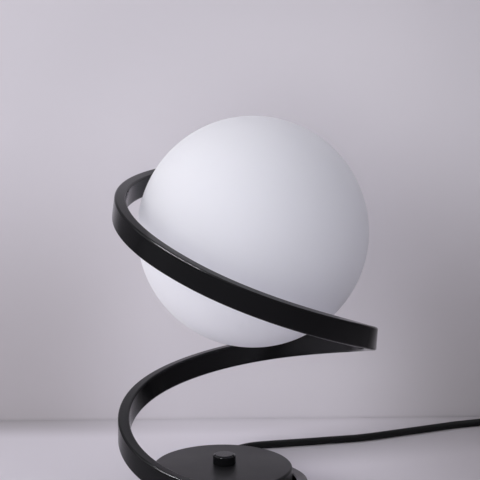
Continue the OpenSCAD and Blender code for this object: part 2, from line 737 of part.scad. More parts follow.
module cord_grip() {
    out_y = base_r + seat_gap;
    in_y = seat_r(grip_flange_r) - grip_flange_t;
    root = out_y + grip_flange_t;
    color(soft_black) backward(0, cord_z) difference() {
        union() {
            translate([0, 0, in_y]) disc(grip_flange_r, grip_flange_t);
            translate([0, 0, in_y]) disc(grip_neck_r, root - in_y);
            translate([0, 0, out_y]) disc(grip_flange_r, grip_flange_t);
            translate([0, 0, root]) cylinder(r1 = grip_neck_r + 0.5, r2 = grip_tip_r, h = grip_len);
        }
        translate([0, 0, in_y - past]) disc(cord_bore / 2, root + grip_len - in_y + 2 * past);
        for (i = [1:grip_rings]) translate([0, 0, root + (i - 0.4) * grip_len / (grip_rings + 0.6)])
            washer(grip_flange_r, grip_tip_r + 0.3, 1.6);
    }
}
module cord_clamp() {
    color([0.80, 0.80, 0.78]) difference() {
        box_at(0, clamp_y, floor_z, clamp_w, clamp_t, cord_z + cord_r + 3.5 - floor_z);
        backward(clamp_y - clamp_t, cord_z) disc(cord_bore / 2, 2 * clamp_t);
        box_at(0, clamp_y, cord_z - clamp_slit / 2, clamp_w + past, clamp_t + past, clamp_slit);
        for (i = [1, 2]) translate([(2 * i - 3) * clamp_screw_x, clamp_y, floor_z - past])
            disc(clamp_screw_d / 2 + thread_gap, cord_z + clamp_w);
    }
}
module clamp_screw(i) {
    top = cord_z + cord_r + 3.5;
    color(steel) translate([(2 * i - 3) * clamp_screw_x, clamp_y, top]) rotate([180, 0, 0])
        pan_screw(clamp_screw_d, clamp_screw_d + 2.5, 2, top - floor_z - 1);
}
module cord_stretch() {
    color(soft_black) sweep(cord_points, cord_r, cord_sides);
}
module cord_coil() {
    color(soft_black) sweep(coil_path, cord_r, coil_sides);
}
module cord_end() {
    color(soft_black) sweep(tail_path, cord_r, cord_sides);
}
module coil_tie() {
    turn = (90 - tie_angle) / 360;
    near = coil_reach(turn + floor(coil_half - turn)) - cord_r - tie_gap;
    far = coil_reach(turn) + cord_r + tie_gap;
    tall = coil_pitch + cord_d + 2 * tie_gap;
    middle = [coil_c.x, coil_c.y, entry.z + coil_pitch / 2];
    color([0.16, 0.16, 0.17]) translate(middle) rotate([90, 0, tie_angle])
        translate([(near + far) / 2, 0, -tie_w / 2]) linear_extrude(tie_w) difference() {
            rounded(far - near + 2 * tie_t, tall + 2 * tie_t, tie_corner + tie_t);
            rounded(far - near, tall, tie_corner);
        }
}
module plug_body() {
    wide = plug_w / 2 - plug_corner;
    slim = plug_back_w / 2 - plug_corner;
    color(soft_black) translate([tail_end.x, plug_y, tail_end.z]) difference() {
        union() {
            translate([0, 0, -plug_t / 2]) linear_extrude(plug_t) hull() {
                for (x = [-1, 1]) {
                    translate([x * slim, -plug_corner]) circle(plug_corner, $fn = 32);
                    translate([x * wide, 2 * plug_corner - plug_len]) circle(plug_corner, $fn = 32);
                    translate([x * (plug_w / 2 - plug_edge), plug_edge - plug_len])
                        circle(plug_edge, $fn = 32);
                }
            }
            rotate([-90, 0, 0]) cylinder(r1 = relief_r, r2 = cord_r + 0.6, h = relief_len);
        }
        for (x = [-1, 1]) translate([x * pin_spread / 2, pin_root - plug_len, 0]) rotate([90, 0, 0])
            disc(pin_d / 2 + thread_gap, pin_root + past);
    }
}
module plug_pin(i) {
    x = tail_end.x + (2 * i - 3) * pin_spread / 2;
    color(brass) translate([x, plug_y - plug_len + pin_root, tail_end.z])
        rotate([90, 0, 0]) disc(pin_d / 2, pin_len + pin_root);
}

base_shell();
bottom_plate();
foot_pad();
ballast();
ballast_screw();
for (i = [1:3]) {
    shell_post(i);
    base_screw(i);
}
dimmer_body();
dimmer_nut();
dimmer_shaft();
knob();
knob_screw();
spiral_tube();
tube_foot_cap();
tube_top_cap();
tube_saddle();
nut_plate();
for (i = [1:2]) {
    tube_screw(i);
    terminal_screw(i);
    clamp_screw(i);
    plug_pin(i);
}
wire_nipple();
nipple_nut();
stem();
stem_collar();
globe_cap();
globe_gasket();
globe_bar();
stem_nut();
lamp_holder();
bulb_cap();
bulb_body();
bulb_dome();
globe();
lamp_wire();
terminal_block();
supply_lead();
dimmer_lead();
cord_grip();
cord_clamp();
cord_stretch();
cord_coil();
cord_end();
coil_tie();
plug_body();
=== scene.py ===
import json
import math
import bmesh
import bpy
from mathutils import Matrix, Vector


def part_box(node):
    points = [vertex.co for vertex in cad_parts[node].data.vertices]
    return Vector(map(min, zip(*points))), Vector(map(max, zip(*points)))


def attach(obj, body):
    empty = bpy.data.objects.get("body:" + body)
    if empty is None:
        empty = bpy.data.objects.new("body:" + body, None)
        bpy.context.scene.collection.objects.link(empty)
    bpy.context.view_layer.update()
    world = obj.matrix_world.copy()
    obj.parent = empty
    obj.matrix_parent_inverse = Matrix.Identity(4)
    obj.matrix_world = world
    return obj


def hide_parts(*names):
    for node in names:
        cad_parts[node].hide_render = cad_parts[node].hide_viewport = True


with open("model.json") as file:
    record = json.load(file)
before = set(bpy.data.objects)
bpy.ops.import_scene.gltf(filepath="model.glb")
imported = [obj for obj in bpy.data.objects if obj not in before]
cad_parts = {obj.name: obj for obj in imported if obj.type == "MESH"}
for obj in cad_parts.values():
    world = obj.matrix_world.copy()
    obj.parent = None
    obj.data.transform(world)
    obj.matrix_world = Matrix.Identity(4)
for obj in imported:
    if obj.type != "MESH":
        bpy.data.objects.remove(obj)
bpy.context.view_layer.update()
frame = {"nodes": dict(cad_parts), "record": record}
scene = bpy.context.scene
print("frame loaded:", len(frame["nodes"]), "nodes")


# camera at the photograph's viewing angle
cameraSet = {"place": (0.01524, -1.47154, 0.52778), "tilt": 78.821, "lens": 131.96, "sensor": 36.0}


def makeCamera(s):
    lens = bpy.data.cameras.new("photoCamera")
    lens.lens = s["lens"]
    lens.sensor_width = s["sensor"]
    eye = bpy.data.objects.new("photoCamera", lens)
    eye.location = s["place"]
    eye.rotation_euler = (math.radians(s["tilt"]), 0, 0)
    scene.collection.objects.link(eye)
    scene.camera = eye


makeCamera(cameraSet)
print("camera set")


# small maths
def smoothStep(t):
    u = max(0.0, min(1.0, t))
    return u ** 3 * (u * (6 * u - 15) + 10)


def mix(a, b, t):
    return a + (b - a) * t


def tone(r, g, b):
    return (r, g, b, 1.0)


def turned(radius, degrees):
    a = math.radians(degrees)
    return Vector((radius * math.cos(a), radius * math.sin(a)))


def throughPoints(points, steps):  # a smooth curve through given points
    out = []
    last = len(points) - 1
    for i in range(last):
        a = points[max(i - 1, 0)]
        b = points[i]
        c = points[i + 1]
        d = points[min(i + 2, last)]
        for k in range(steps):
            t = k / steps
            swing = 2 * a - 5 * b + 4 * c - d
            out.append(b + 0.5 * t * ((c - a) + t * (swing + t * (3 * (b - c) + d - a))))
    out.append(points[-1].copy())
    return out


# mains cord: lies on the table, then in a tied coil past the right edge of the view
cordSet = {
    "diameter": 0.007,
    "length": 1.8,
    "route": [  # millimetres, as in the part's source
        (0, 47, 14), (0, 62, 14), (0, 78, 14), (0, 90, 14), (0, 102, 12.6), (0, 114, 9.6), (1.6, 126.2, 6.2),
        (6.3, 137.5, 4), (13.8, 147.2, 3.5), (23.5, 154.7, 3.5), (34, 159, 3.5), (47, 162.2, 3.5),
        (60, 165, 3.5), (73.5, 168, 3.5), (87, 171, 3.5), (101, 174.5, 3.5), (115, 177.5, 3.5),
        (129, 181, 3.5), (143, 186, 3.5), (157, 192, 3.5), (171.5, 198.5, 3.5), (186, 205, 3.5),
        (200.5, 211.5, 3.5), (215, 218, 3.5), (230, 224.5, 3.5), (244, 229.5, 3.5), (257.5, 234, 3.5),
        (271, 238.5, 3.6), (285, 242.5, 4.4), (296, 245.4, 5), (303, 246, 5),
    ],
    "tail": [  # y from the coil's end and z above its lower layer, in millimetres
        (-7, 7.5), (-14, 7.5), (-22, 6.6), (-31, 4.6), (-40, 2.7), (-48, 2), (-55, 2),
    ],
    "routeSteps": 5,
    "tailSteps": 6,
    "turns": 5.25,
    "turnGap": 0.0005,
    "climb": 0.5,  # turns in which the cord rises to the upper layer
    "samples": 48,
    "roundness": 5,
}
perMetre = 1000


def pathLength(points):
    return sum((b - a).length for a, b in zip(points, points[1:]))


def cordLine(s):
    route = [Vector(p) / perMetre for p in s["route"]]
    tail = [Vector((0, y, z)) / perMetre for y, z in s["tail"]]
    d = s["diameter"]
    pitch = d + s["turnGap"]
    entry = route[-1] + Vector((d, 0, 0))
    coilLength = s["length"] - pathLength(route) - pathLength(tail) - 2 * d
    reach = coilLength / (2 * math.pi * s["turns"]) + pitch * s["turns"] / 4
    centre = entry - Vector((0, reach, 0))

    def coilPoint(t):
        flat = turned(reach - pitch * min(t, s["turns"] - t), 90 - 360 * t)
        lift = pitch * smoothStep((t - s["turns"] / 2) / s["climb"] + 0.5)
        return centre + Vector((flat.x, flat.y, lift))

    s["coilCentre"] = centre  # the tie takes its place from these two
    s["coilReach"] = reach
    count = int(s["samples"] * s["turns"])
    coil = [coilPoint(i / s["samples"]) for i in range(count + 1)]
    leave = coil[-1]
    lay = [Vector((leave.x, leave.y + p.y, entry.z + p.z)) for p in tail]
    return throughPoints(route, s["routeSteps"]) + coil + throughPoints(lay, s["tailSteps"])


def makeCord(s):
    line = cordLine(s)
    curve = bpy.data.curves.new("mainsCord", "CURVE")
    curve.dimensions = "3D"
    curve.bevel_depth = 1.0  # each point's radius gives the real size
    curve.bevel_resolution = s["roundness"]
    curve.use_fill_caps = True
    spline = curve.splines.new("POLY")
    spline.points.add(len(line) - 1)
    for point, place in zip(spline.points, line):
        point.co = (*place, 1)
        point.radius = s["diameter"] / 2
    spline.use_smooth = True
    cord = bpy.data.objects.new("mainsCord", curve)
    scene.collection.objects.link(cord)
    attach(cord, "lamp")
    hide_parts("cord_stretch", "cord_coil", "cord_end")
    return cord


mainsCord = makeCord(cordSet)
print("cord laid")


# shader nodes
def addNode(tree, kind, **settings):
    node = tree.nodes.new("ShaderNode" + kind)
    for key, value in settings.items():
        setattr(node, key, value)
    return node


def feed(tree, socket, value):  # a link from another node's socket, or a fixed value
    if isinstance(value, bpy.types.NodeSocket):
        tree.links.new(value, socket)
    else:
        socket.default_value = value


def calc(tree, operation, *values, clamp=False):
    node = addNode(tree, "Math", operation=operation, use_clamp=clamp)
    for socket, value in zip(node.inputs, values):
        feed(tree, socket, value)
    return node.outputs[0]


def mapRange(tree, value, span, ends, way="SMOOTHSTEP"):
    node = addNode(tree, "MapRange", interpolation_type=way)
    labels = ("Value", "From Min", "From Max", "To Min", "To Max")
    for label, setting in zip(labels, (value, *span, *ends)):
        feed(tree, node.inputs[label], setting)
    return node.outputs["Result"]


def blend(tree, kind, share, a, b):
    node = addNode(tree, "Mix", data_type=kind)
    feed(tree, node.inputs["Factor"], share)
    feed(tree, node.inputs["A"], a)
    feed(tree, node.inputs["B"], b)
    return node.outputs["Result"]


def cloud(tree, scale, detail):
    place = addNode(tree, "TexCoord")
    node = addNode(tree, "TexNoise")
    feed(tree, node.inputs["Vector"], place.outputs["Object"])
    feed(tree, node.inputs["Scale"], scale)
    feed(tree, node.inputs["Detail"], detail)
    return node.outputs["Fac"]


def newGroup(name, inputs, outputs):
    group = bpy.data.node_groups.new(name, "ShaderNodeTree")
    for label, kind, value in inputs:
        socket = group.interface.new_socket(label, in_out="INPUT", socket_type="NodeSocket" + kind)
        socket.default_value = value
    for label, kind in outputs:
        group.interface.new_socket(label, in_out="OUTPUT", socket_type="NodeSocket" + kind)
    return group, group.nodes.new("NodeGroupInput").outputs, group.nodes.new("NodeGroupOutput").inputs


grainSet = {"scale": 900, "detail": 3, "cloudScale": 14, "cloudDetail": 4}
dustSet = {"dust": tone(0.4, 0.39, 0.4), "amount": 0.03, "speckScale": 220, "speckDetail": 6}
driftSet = {"light": tone(1, 1, 1), "deep": tone(0.8, 0.8, 0.8), "scale": 20, "detail": 3}


def makeGrain(s):  # fine even grain, as in powder coat or moulded plastic
    outputs = [("Height", "Float"), ("Cloud", "Float")]
    group, start, end = newGroup("fineGrain", [("Scale", "Float", s["scale"])], outputs)
    feed(group, end["Height"], cloud(group, start["Scale"], s["detail"]))
    feed(group, end["Cloud"], cloud(group, s["cloudScale"], s["cloudDetail"]))
    return group


def makeDust(s):  # thin dust on faces that look up
    inputs = [("Color", "Color", tone(0, 0, 0)), ("Dust", "Color", s["dust"]), ("Amount", "Float", s["amount"])]
    group, start, end = newGroup("restingDust", inputs, [("Color", "Color")])
    shape = addNode(group, "NewGeometry")
    split = addNode(group, "SeparateXYZ")
    feed(group, split.inputs[0], shape.outputs["Normal"])
    speck = cloud(group, s["speckScale"], s["speckDetail"])
    up = calc(group, "MULTIPLY", split.outputs["Z"], speck, clamp=True)
    share = calc(group, "MULTIPLY", up, start["Amount"], clamp=True)
    feed(group, end["Color"], blend(group, "RGBA", share, start["Color"], start["Dust"]))
    return group


def makeDrift(s):  # slow change of tone over a surface
    inputs = [("Light", "Color", s["light"]), ("Deep", "Color", s["deep"]), ("Scale", "Float", s["scale"])]
    group, start, end = newGroup("toneDrift", inputs, [("Color", "Color")])
    share = cloud(group, start["Scale"], s["detail"])
    feed(group, end["Color"], blend(group, "RGBA", share, start["Light"], start["Deep"]))
    return group


grainGroup = makeGrain(grainSet)
dustGroup = makeDust(dustSet)
driftGroup = makeDrift(driftSet)


def placeGroup(tree, group, **values):
    node = tree.nodes.new("ShaderNodeGroup")
    node.node_tree = group
    for label, value in values.items():
        feed(tree, node.inputs[label], value)
    return node.outputs


# what a finish has where its own settings don't say otherwise
plainFinish = {"metallic": 0.0, "specular": 0.5, "driftScale": 25, "grainScale": 900, "cloudSpan": (0.3, 0.7),
               "bump": 0.1, "bumpDepth": 0.00005, "dust": 0.0}
finishSets = {
    "black_coat": {
        "light": tone(0.0065, 0.0065, 0.0074), "deep": tone(0.005, 0.005, 0.0057), "rough": (0.13, 0.17),
        "specular": 0.26, "grainScale": 1300, "bump": 0.03, "dust": 0.003},
    "drum_coat": {
        "light": tone(0.008, 0.008, 0.009), "deep": tone(0.0065, 0.0065, 0.0072), "rough": (0.33, 0.41),
        "specular": 0.38, "grainScale": 1500, "bump": 0.06, "dust": 0.01},
    "knob_black": {
        "light": tone(0.0065, 0.0065, 0.0075), "deep": tone(0.005, 0.005, 0.0058), "rough": (0.09, 0.13),
        "specular": 0.3, "grainScale": 1800, "bump": 0.06},
    "opal_glass": {
        "light": tone(0.80, 0.805, 0.915), "deep": tone(0.78, 0.785, 0.89), "rough": (0.8, 0.9),
        "specular": 0.15, "driftScale": 6, "grainScale": 700, "bump": 0.03,
        "glow": 1.0, "glowReach": (0.2, 0.2, 0.2)},
    "zinc_steel": {
        "light": tone(0.62, 0.63, 0.66), "deep": tone(0.5, 0.51, 0.53), "rough": (0.26, 0.4),
        "metallic": 1.0, "driftScale": 90, "grainScale": 1500},
    "yellow_brass": {
        "light": tone(0.76, 0.6, 0.3), "deep": tone(0.62, 0.46, 0.2), "rough": (0.2, 0.36),
        "metallic": 1.0, "driftScale": 70, "grainScale": 1500},
    "grey_iron": {
        "light": tone(0.2, 0.2, 0.21), "deep": tone(0.13, 0.13, 0.135), "rough": (0.55, 0.75),
        "metallic": 0.6, "driftScale": 60, "grainScale": 350, "bump": 0.5, "bumpDepth": 0.0003},
    "foot_rubber": {
        "light": tone(0.035, 0.035, 0.036), "deep": tone(0.026, 0.026, 0.027), "rough": (0.7, 0.85),
        "grainScale": 600, "bump": 0.3, "bumpDepth": 0.0002},
    "woven_strap": {
        "light": tone(0.02, 0.02, 0.021), "deep": tone(0.012, 0.012, 0.013), "rough": (0.75, 0.88),
        "driftScale": 300, "specular": 0.25, "weave": 0.00075, "weaveTurn": 45, "bump": 0.9,
        "bumpDepth": 0.00025},
    "dimmer_case": {
        "light": tone(0.08, 0.08, 0.088), "deep": tone(0.06, 0.06, 0.065), "rough": (0.4, 0.55)},
    "holder_white": {
        "light": tone(0.76, 0.75, 0.7), "deep": tone(0.68, 0.67, 0.62), "rough": (0.35, 0.5)},
    "bulb_white": {
        "light": tone(0.86, 0.86, 0.84), "deep": tone(0.8, 0.8, 0.78), "rough": (0.3, 0.45)},
    "cord_sheath": {
        "light": tone(0.006, 0.006, 0.0062), "deep": tone(0.0045, 0.0045, 0.0048), "rough": (0.42, 0.52),
        "specular": 0.22, "grainScale": 1100, "bump": 0.15, "dust": 0.008},
    "moulded_black": {
        "light": tone(0.022, 0.022, 0.024), "deep": tone(0.016, 0.016, 0.018), "rough": (0.42, 0.55),
        "grainScale": 1000, "bump": 0.25, "bumpDepth": 0.0001, "dust": 0.03},
}
waveRate = 20  # radians that a wave texture runs through in one unit of length


def weaveHeight(tree, s):  # over-and-under threads of a narrow strap
    place = addNode(tree, "TexCoord")
    turn = addNode(tree, "Mapping")
    feed(tree, turn.inputs["Rotation"], (0, 0, math.radians(-s["weaveTurn"])))
    feed(tree, turn.inputs["Vector"], place.outputs["Object"])
    waves = []
    for way in ("X", "Y", "Z"):
        wave = addNode(tree, "TexWave", bands_direction=way)
        feed(tree, wave.inputs["Scale"], 2 * math.pi / waveRate / s["weave"])
        feed(tree, wave.inputs["Vector"], turn.outputs["Vector"])
        waves.append(wave.outputs["Fac"])
    return calc(tree, "MULTIPLY", calc(tree, "MAXIMUM", waves[0], waves[2]), waves[1])


def makeFinish(name, own):
    s = {**plainFinish, **own}
    finish = bpy.data.materials.new(name)
    finish.use_nodes = True
    tree = finish.node_tree
    shader = tree.nodes["Principled BSDF"].inputs
    feed(tree, shader["Metallic"], s["metallic"])
    feed(tree, shader["Specular IOR Level"], s["specular"])
    if "glow" in s:
        feed(tree, shader["Subsurface Weight"], s["glow"])
        feed(tree, shader["Subsurface Radius"], s["glowReach"])
        feed(tree, shader["Subsurface Scale"], 1.0)  # so the reach is in metres
    drift = placeGroup(tree, driftGroup, Light=s["light"], Deep=s["deep"], Scale=s["driftScale"])
    dust = placeGroup(tree, dustGroup, Color=drift["Color"], Amount=s["dust"])
    feed(tree, shader["Base Color"], dust["Color"])
    grain = placeGroup(tree, grainGroup, Scale=s["grainScale"])
    rough = mapRange(tree, grain["Cloud"], s["cloudSpan"], s["rough"], "LINEAR")
    feed(tree, shader["Roughness"], rough)
    bump = addNode(tree, "Bump")
    feed(tree, bump.inputs["Strength"], s["bump"])
    feed(tree, bump.inputs["Distance"], s["bumpDepth"])
    feed(tree, bump.inputs["Height"], weaveHeight(tree, s) if "weave" in s else grain["Height"])
    feed(tree, shader["Normal"], bump.outputs["Normal"])
    return finish


finishes = {name: makeFinish(name, s) for name, s in finishSets.items()}
for part in frame["record"]["subparts"]:
    slots = frame["nodes"][part["node"]].data.materials
    slots.clear()
    slots.append(finishes[part["material_slot"]])
mainsCord.data.materials.append(finishes["cord_sheath"])
print("finishes made:", len(finishes))


# mesh pieces
sameSpot = 1e-7  # points nearer than this are one
cornerRoom = 0.45  # most of a side that the round of one corner may take
squareEdge = 1  # radians: edges bent more than this stay sharp
faceWeight = 80  # how far broad faces outweigh narrow ones in the normals


def addPiece(name, mesh, body, finish, *nodes, slot=None):
    piece = bpy.data.objects.new(name, mesh)
    scene.collection.objects.link(piece)
    mesh.materials.append(finishes[finish])
    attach(piece, body)
    if nodes:
        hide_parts(*nodes)
    return piece


def smoothMesh(name, bm):
    mesh = bpy.data.meshes.new(name)
    for face in bm.faces:
        face.smooth = True
    bm.to_mesh(mesh)
    bm.free()
    return mesh


def skinRings(name, rings, closed):  # rings of equal length joined by faces, smooth but for square edges
    bm = bmesh.new()
    loops = [[bm.verts.new(p) for p in ring] for ring in rings]
    count = len(loops[0])
    pairs = list(zip(loops, loops[1:]))
    if closed:
        pairs.append((loops[-1], loops[0]))
    for a, b in pairs:
        for j in range(count):
            k = (j + 1) % count
            bm.faces.new((a[j], a[k], b[k], b[j]))
    bmesh.ops.remove_doubles(bm, verts=bm.verts, dist=sameSpot)
    bmesh.ops.recalc_face_normals(bm, faces=bm.faces)
    for edge in bm.edges:
        edge.smooth = edge.calc_face_angle(0) < squareEdge
    return smoothMesh(name, bm)


def closeEnds(mesh):  # flat faces over the open ends
    bm = bmesh.new()
    bm.from_mesh(mesh)
    edges = [e for e in bm.edges if e.is_boundary]
    for face in bmesh.ops.holes_fill(bm, edges=edges, sides=0)["faces"]:
        face.smooth = False
    bmesh.ops.recalc_face_normals(bm, faces=bm.faces)
    bm.to_mesh(mesh)
    bm.free()


def lathe(name, profile, place, segments):  # profile of (radius, height) turned about z
    bm = bmesh.new()
    loops = []
    for i in range(segments):
        spin = 2 * math.pi * i / segments
        ring = [place @ Vector((r * math.cos(spin), r * math.sin(spin), h)) for r, h in profile]
        loops.append([bm.verts.new(p) for p in ring])
    for a, b in zip(loops, loops[1:] + loops[:1]):
        for j in range(len(profile) - 1):
            bm.faces.new((a[j], b[j], b[j + 1], a[j + 1]))
    bmesh.ops.remove_doubles(bm, verts=bm.verts, dist=sameSpot)
    bmesh.ops.dissolve_degenerate(bm, edges=bm.edges, dist=sameSpot / 10)
    bmesh.ops.recalc_face_normals(bm, faces=bm.faces)
    return smoothMesh(name, bm)


def roundCorners(points, radius, steps):  # each corner of an outline becomes an arc; ends stay
    out = [Vector(points[0])]
    for a, b, c in zip(points, points[1:], points[2:]):
        a, b, c = Vector(a), Vector(b), Vector(c)
        toA = (a - b).normalized()
        toC = (c - b).normalized()
        half = toA.angle(toC) / 2
        cut = min(radius / math.tan(half), cornerRoom * (a - b).length, cornerRoom * (c - b).length)
        r = cut * math.tan(half)
        hub = b + (toA + toC).normalized() * (r / math.sin(half))
        first = b + toA * cut - hub
        last = b + toC * cut - hub
        for k in range(steps + 1):
            out.append(hub + first.lerp(last, k / steps).normalized() * r)
    out.append(Vector(points[-1]))
    return out


def roundedOutline(halfWide, halfTall, r, steps):  # rectangle with round corners
    out = []
    for k, (sx, sy) in enumerate([(1, 1), (-1, 1), (-1, -1), (1, -1)]):
        for i in range(steps + 1):
            bend = turned(r, 90 * k + 90 * i / steps)
            out.append(Vector((sx * (halfWide - r) + bend.x, sy * (halfTall - r) + bend.y)))
    return out


def sharpen(piece):  # broad faces keep their own normals, narrow rounds blend between them
    weighted = piece.modifiers.new("edges", "WEIGHTED_NORMAL")
    weighted.keep_sharp = True
    weighted.weight = faceWeight


# flat tube wound round the drum and up round the globe; angles run clockwise from the right
tubeSet = {
    "height": 0.020, "thick": 0.010, "corner": 0.0019, "cornerSteps": 7, "lift": 0.001,
    "wall": 0.0012, "innerCorner": 0.0007, "innerEvery": 4,
    "start": -70, "end": 640, "step": 1.25, "probe": 0.5,
    "ringGap": 0.0035, "loopGap": 0.0055, "tuckGap": 0.006, "endRise": 0.037,
    "fan": (80, 240),  # from the ring round the drum to the wider loop
    "tuck": (480, 615),  # from the loop to the end behind the globe
    "climb": (-55, 0.57, 0.21),  # first angle, then the shares of the way that ease in and out
    "loopCentre": (0.018, 0.006),
    "tilt": (0.010, 214),  # the loop's extra rise, and the angle where it is highest
    "lean": (2.7, 5.2, 70, 7.3, 54),  # degrees: mean, once a turn and where, twice a turn and where
}
globeSet = {
    "diameter": 0.200, "centre": (0.0265, 0.022, 0.240), "glass": 0.003, "opening": 0.020, "ground": 0.006,
    "stemAngle": 630, "shellSteps": 120, "shellSegments": 192, "liningSteps": 60, "liningSegments": 96,
}


class TubePath:
    def __init__(self, s, globe):
        self.s = s
        self.centre = Vector(globe["centre"])
        radius = globe["diameter"] / 2
        self.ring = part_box("base_shell")[1].y + s["ringGap"] + s["thick"] / 2
        self.loop = radius + s["loopGap"] + s["thick"] / 2
        far = radius + s["tuckGap"] + s["thick"] / 2
        self.tuckRadius = math.sqrt(far ** 2 - s["endRise"] ** 2)
        self.tuckLean = -math.degrees(math.asin(s["endRise"] / far))
        self.startZ = s["lift"] + s["height"] / 2
        self.endZ = self.centre.z + s["endRise"]

    def share(self, key, a):
        low, high = self.s[key]
        return smoothStep((a - low) / (high - low))

    def rise(self, a):
        low, easeIn, easeOut = self.s["climb"]
        t = max(0.0, min(1.0, (a - low) / (self.s["tuck"][1] - low)))
        h = 1 / (1 - easeIn / 2 - easeOut / 2)
        if t < easeIn:
            return h * t * t / (2 * easeIn)
        if t < 1 - easeOut:
            return h * (t - easeIn / 2)
        return 1 - h * (1 - t) ** 2 / (2 * easeOut)

    def point(self, a):
        fan = self.share("fan", a)
        tuck = self.share("tuck", a)
        hub = mix(Vector(self.s["loopCentre"]) * fan, self.centre.xy, tuck)
        radius = mix(mix(self.ring, self.loop, fan), self.tuckRadius, tuck)
        swing, facing = self.s["tilt"]
        tilt = swing * math.cos(math.radians(a - facing)) * fan * (1 - tuck)
        flat = hub + turned(radius, -a)
        return Vector((flat.x, flat.y, mix(self.startZ, self.endZ, self.rise(a)) + tilt))

    def lean(self, a):
        mean, once, onceDir, twice, twiceDir = self.s["lean"]
        fan = self.share("fan", a)
        tuck = self.share("tuck", a)
        loop = (mean + once * math.cos(math.radians(a - onceDir))
                + twice * math.cos(math.radians(2 * (a - twiceDir))))
        return fan * (1 - tuck) * loop + tuck * self.tuckLean

    def axes(self, a):  # out of the loop, up the tube's height, along its run
        probe = self.s["probe"]
        along = (self.point(a + probe) - self.point(a - probe)).normalized()
        level = Vector((-along.y, along.x, 0)).normalized()
        up = along.cross(level)
        lean = math.radians(self.lean(a))
        out = level * math.cos(lean) - up * math.sin(lean)
        return out, along.cross(out), along


tubePath = TubePath(tubeSet, globeSet)


def tubeRing(angle, outline):
    p = tubePath.point(angle)
    out, up = tubePath.axes(angle)[:2]
    return [p + out * x + up * y for x, y in outline]


def makeTube(s):  # the outside from start to end, then back along the bore
    count = int(round((s["end"] - s["start"]) / s["step"]))
    angles = [s["start"] + i * s["step"] for i in range(count + 1)]
    wide, tall, wall, steps = s["thick"] / 2, s["height"] / 2, s["wall"], s["cornerSteps"]
    outside = roundedOutline(wide, tall, s["corner"], steps)
    bore = roundedOutline(wide - wall, tall - wall, s["innerCorner"], steps)
    rings = [tubeRing(a, outside) for a in angles]
    rings += [tubeRing(a, bore) for a in reversed(angles[::s["innerEvery"]])]
    mesh = skinRings("spiralTube", rings, True)
    sharpen(addPiece("spiralTube", mesh, "lamp", "black_coat", "spiral_tube"))


makeTube(tubeSet)


def stemPlace(angle):  # the globe's own axes, with z through its opening
    z = (tubePath.point(angle) - tubePath.centre).normalized()
    x = tubePath.axes(angle)[2]
    y = z.cross(x)
    place = Matrix((x, y, z)).transposed().to_4x4()
    place.translation = tubePath.centre
    return place


def makeGlobe(s):  # outer face with the ground rim, and a lining that meets it there
    outer = s["diameter"] / 2
    inner = outer - s["glass"]
    ground = s["opening"] + s["ground"]
    flat = math.sqrt(outer ** 2 - ground ** 2)
    mouth = math.sqrt(inner ** 2 - s["opening"] ** 2)
    fromTop = math.degrees(math.asin(ground / outer))
    inTop = math.degrees(math.asin(s["opening"] / inner))
    steps, inSteps = s["shellSteps"], s["liningSteps"]
    shell = [turned(outer, 90 - mix(fromTop, 180, i / steps)) for i in range(steps + 1)]
    back = [turned(inner, 90 - mix(180, inTop, i / inSteps)) for i in range(inSteps + 1)]
    rim = [Vector((s["opening"], mouth)), Vector((s["opening"], flat)), Vector((ground, flat))]
    profile = [(max(p.x, 0), p.y) for p in rim[1:] + shell]
    lining = [(max(p.x, 0), p.y) for p in back + rim[:2]]
    place = stemPlace(s["stemAngle"])
    mesh = lathe("opalGlobe", profile, place, s["shellSegments"])
    addPiece("opalGlobe", mesh, "lamp", "opal_glass", "globe")
    mesh = lathe("opalLining", lining, place, s["liningSegments"])
    addPiece("opalLining", mesh, "lamp", "opal_glass")


makeGlobe(globeSet)
print("tube and globe made")


# drum shell
drumSet = {"wall": 0.0015, "topWall": 0.002, "edge": 0.002, "edgeSteps": 8, "foot": 0.0004, "footSteps": 3,
           "segments": 192}


def makeDrum(s):
    low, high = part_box("base_shell")
    r = high.y
    inner = r - s["wall"]
    ceiling = high.z - s["topWall"]
    foot = roundCorners([(inner, low.z), (r, low.z), (r, high.z)], s["foot"], s["footSteps"])
    edge = roundCorners([(r, low.z), (r, high.z), (0, high.z)], s["edge"], s["edgeSteps"])
    profile = [(0, ceiling), (inner, ceiling)] + foot[:-1] + edge[1:]
    mesh = lathe("drumShell", profile, Matrix.Identity(4), s["segments"])
    sharpen(addPiece("drumShell", mesh, "lamp", "drum_coat", "base_shell", slot="black_coat"))


makeDrum(drumSet)


# dimmer knob
knobSet = {"recess": 0.004, "recessWide": 0.0080, "bevel": (0.0020, 0.0012), "edge": 0.0005, "edgeSteps": 6,
           "underEdge": 0.0003, "underSteps": 3, "segments": 96}


def makeKnob(s):
    low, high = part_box("knob")
    hub = (low + high) / 2
    r = (high.x - low.x) / 2
    wide, tall = s["bevel"]
    ceiling = low.z + s["recess"]
    under = [(0, ceiling), (s["recessWide"], ceiling), (s["recessWide"], low.z), (r, low.z), (r, high.z - tall)]
    crown = [(r, low.z), (r, high.z - tall), (r - wide, high.z), (0, high.z)]
    profile = roundCorners(under, s["underEdge"], s["underSteps"])[:-1]
    profile += roundCorners(crown, s["edge"], s["edgeSteps"])[1:]
    place = Matrix.Translation((hub.x, hub.y, 0))
    mesh = lathe("dimmerKnob", profile, place, s["segments"])
    sharpen(addPiece("dimmerKnob", mesh, "knob", "knob_black", "knob"))


makeKnob(knobSet)
print("drum and knob made")


# strain relief where the cord leaves the drum
gripSet = {
    "flange": 0.008, "flangeThick": 0.0025, "neck": 0.006, "root": 0.0065, "tip": 0.0046, "long": 0.025,
    "ribs": 6, "groove": 0.0011, "grooveShare": 0.4, "edge": 0.0005, "edgeSteps": 3, "seat": 0.00002,
    "segments": 64,
}


